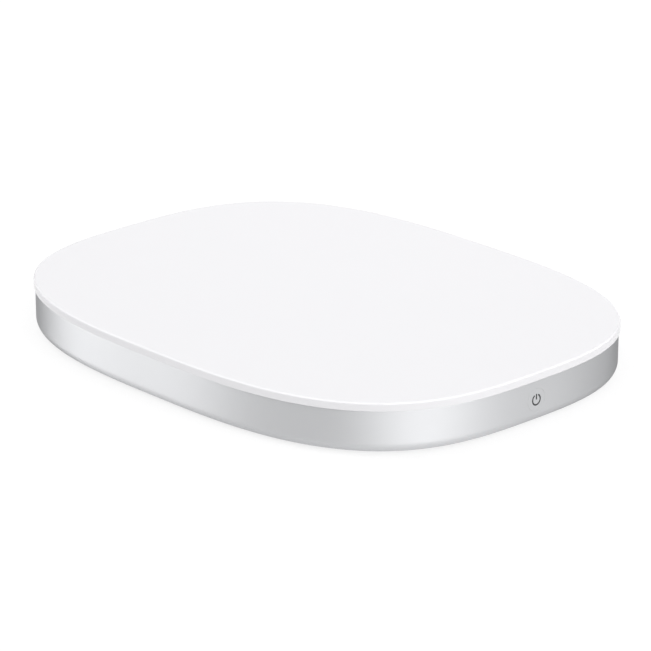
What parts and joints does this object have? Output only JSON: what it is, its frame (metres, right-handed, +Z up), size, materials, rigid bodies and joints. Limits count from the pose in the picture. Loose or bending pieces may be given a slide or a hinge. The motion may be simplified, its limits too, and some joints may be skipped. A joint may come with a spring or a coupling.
{
  "type": "wireless charging pad",
  "caption": "Large flat wireless charging pad: rounded-oblong white cover on a satin aluminium rim, with a power button in one end and a power inlet in the other.",
  "frame": {"origin": "middle of the plane that the four feet stand on", "axes": "+X along the pad's length, from the inlet end to the button end; +Y to the left when looking along +X; +Z up, out of the charging surface"},
  "size_m": [0.26, 0.199, 0.0234],
  "materials": {
    "cover": "gloss white, moulded",
    "adhesive": "thin grey-white bonding tape",
    "housing": "satin anodised, fine grain",
    "base": "fine moulded texture",
    "screws": "plain steel",
    "feet": "matt silicone",
    "symbol": "dark grey enamel fill",
    "black_plastic": "moulded",
    "circuit_board": "green solder mask",
    "bracket": "stamped steel",
    "flex": "amber film",
    "foam": "closed-cell foam",
    "frame_plastic": "moulded",
    "coil_wire": "enamelled copper strands",
    "ferrite": "fired, dull",
    "heat_plate": "rolled sheet",
    "brass_parts": "turned",
    "thermal_pad": "soft silicone pad",
    "ceramic_parts": "fired",
    "inductor": "pressed powder",
    "capacitor_can": "drawn can",
    "inlet_metal": "plated steel",
    "bezel": "grey, moulded"
  },
  "bodies": {
    "pad": {"top_cover": "cover", "cover_adhesive": "adhesive", "housing": "housing", "base_plate": "base", "base_screws": "screws", "foot_front_left": "feet", "foot_front_right": "feet", "foot_rear_left": "feet", "foot_rear_right": "feet", "tact_switch": "black_plastic", "switch_board": "circuit_board", "button_bracket": "bracket", "bracket_screws": "screws", "flex_cable": "flex", "foam_sheet": "foam", "coil_frame": "frame_plastic", "coil_1": "coil_wire", "coil_2": "coil_wire", "coil_3": "coil_wire", "coil_4": "coil_wire", "coil_5": "coil_wire", "coil_6": "coil_wire", "coil_7": "coil_wire", "coil_8": "coil_wire", "ferrite_tile_1": "ferrite", "ferrite_tile_2": "ferrite", "ferrite_tile_3": "ferrite", "ferrite_tile_4": "ferrite", "ferrite_tile_5": "ferrite", "ferrite_tile_6": "ferrite", "temperature_sensors": "black_plastic", "shield_plate": "heat_plate", "plate_screws": "screws", "board_spacers": "brass_parts", "main_board": "circuit_board", "board_screws": "screws", "bridge_chips": "black_plastic", "controller_chip": "black_plastic", "thermal_pads": "thermal_pad", "resonant_capacitors": "ceramic_parts", "power_inductors": "inductor", "bulk_capacitors": "capacitor_can", "inlet_shell": "inlet_metal", "inlet_tongue": "black_plastic", "inlet_bezel": "bezel"},
    "button": {"power_button": "housing", "power_symbol": "symbol", "switch_plunger": "black_plastic"}
  },
  "joints": [
    {"name": "button_press", "type": "slide", "parent": "pad", "child": "button", "axis": [-1, 0, 0], "range_m": [0, 0.0004], "stiffness_N_per_m": 4000}
  ]
}
